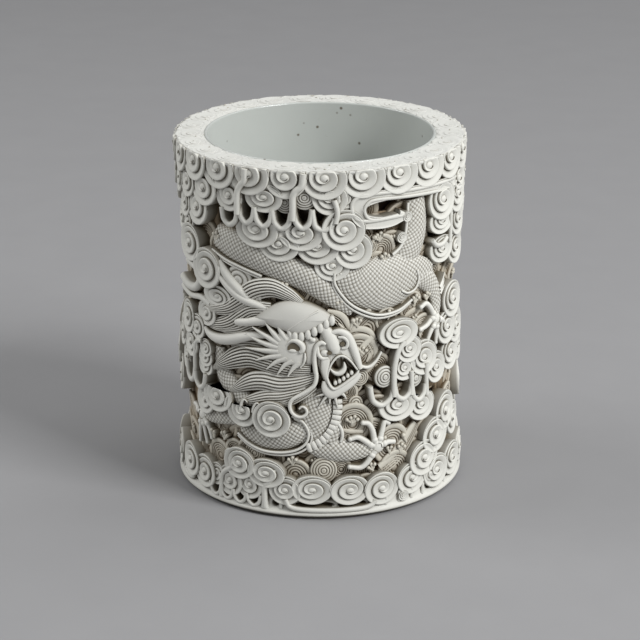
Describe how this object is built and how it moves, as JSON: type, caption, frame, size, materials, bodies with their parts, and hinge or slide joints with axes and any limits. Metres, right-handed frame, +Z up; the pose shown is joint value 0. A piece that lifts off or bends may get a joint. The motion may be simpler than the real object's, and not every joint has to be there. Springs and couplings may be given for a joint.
{
  "type": "brush pot",
  "caption": "Straight-sided porcelain brush pot with a glazed bore inside a pierced wall that carries a dragon among clouds and waves in high relief.",
  "frame": {"origin": "middle of the flat face that the foot rests on", "axes": "+Z up along the pot's axis, -Y towards the front, the side with the dragon's head"},
  "size_m": [0.106, 0.106, 0.1305],
  "materials": {
    "biscuit_porcelain": "matt unglazed biscuit",
    "stained_biscuit": "matt unglazed biscuit, stained brown in its recesses",
    "glazed_porcelain": "thin pale grey-green glaze with fine dark specks"
  },
  "bodies": {
    "root": {"vessel_liner": "glazed_porcelain", "foot_ring": "biscuit_porcelain", "rim_ring": "biscuit_porcelain", "pierced_wall": "stained_biscuit", "cloud_rim_row": "biscuit_porcelain", "cloud_sprig_left": "biscuit_porcelain", "cloud_sprig_right": "biscuit_porcelain", "cloud_base_row": "biscuit_porcelain", "cloud_arcade_top": "biscuit_porcelain", "cloud_bank_top": "biscuit_porcelain", "cloud_strap": "biscuit_porcelain", "cloud_bank_left_top": "biscuit_porcelain", "cloud_bank_left_upper": "biscuit_porcelain", "cloud_bank_left_lower": "biscuit_porcelain", "dragon_horn_upper": "biscuit_porcelain", "dragon_horn_lower": "biscuit_porcelain", "cloud_bank_left_middle": "biscuit_porcelain", "cloud_bank_right_top": "biscuit_porcelain", "cloud_bank_right_middle": "biscuit_porcelain", "cloud_bank_right_far": "biscuit_porcelain", "cloud_scrolls_right": "biscuit_porcelain", "cloud_arcade_back": "biscuit_porcelain", "cloud_bank_back_top": "biscuit_porcelain", "cloud_bank_back_right": "biscuit_porcelain", "cloud_bank_back_low": "biscuit_porcelain", "cloud_bank_back_side": "biscuit_porcelain", "cloud_scrolls_back": "biscuit_porcelain", "cloud_scrolls_back_right": "biscuit_porcelain", "dragon_whisker_left": "biscuit_porcelain", "dragon_whisker_right": "biscuit_porcelain", "dragon_snout": "biscuit_porcelain", "dragon_jaw": "biscuit_porcelain", "dragon_tongue": "biscuit_porcelain", "dragon_beard": "biscuit_porcelain", "dragon_forehead": "biscuit_porcelain", "dragon_eye_plate": "biscuit_porcelain", "dragon_mouth": "biscuit_porcelain", "dragon_mane_lock_1": "biscuit_porcelain", "dragon_mane_lock_2": "biscuit_porcelain", "dragon_mane_lock_3": "biscuit_porcelain", "dragon_mane_lock_4": "biscuit_porcelain", "dragon_mane_lock_5": "biscuit_porcelain", "dragon_forepaw": "biscuit_porcelain", "dragon_foreleg": "biscuit_porcelain", "dragon_far_paw": "biscuit_porcelain", "dragon_shoulder": "biscuit_porcelain", "dragon_far_foreleg": "biscuit_porcelain", "dragon_chest": "biscuit_porcelain", "dragon_neck": "biscuit_porcelain", "dragon_hind_paw": "biscuit_porcelain", "dragon_haunch": "biscuit_porcelain", "dragon_hind_leg": "biscuit_porcelain", "dragon_rising_body": "biscuit_porcelain", "dragon_back_coil": "biscuit_porcelain", "dragon_loin": "biscuit_porcelain", "dragon_rear_paw": "biscuit_porcelain", "dragon_rear_leg": "biscuit_porcelain", "dragon_tail_root": "biscuit_porcelain", "dragon_tail_tip": "biscuit_porcelain", "dragon_tail_tuft": "biscuit_porcelain"}
  },
  "joints": []
}
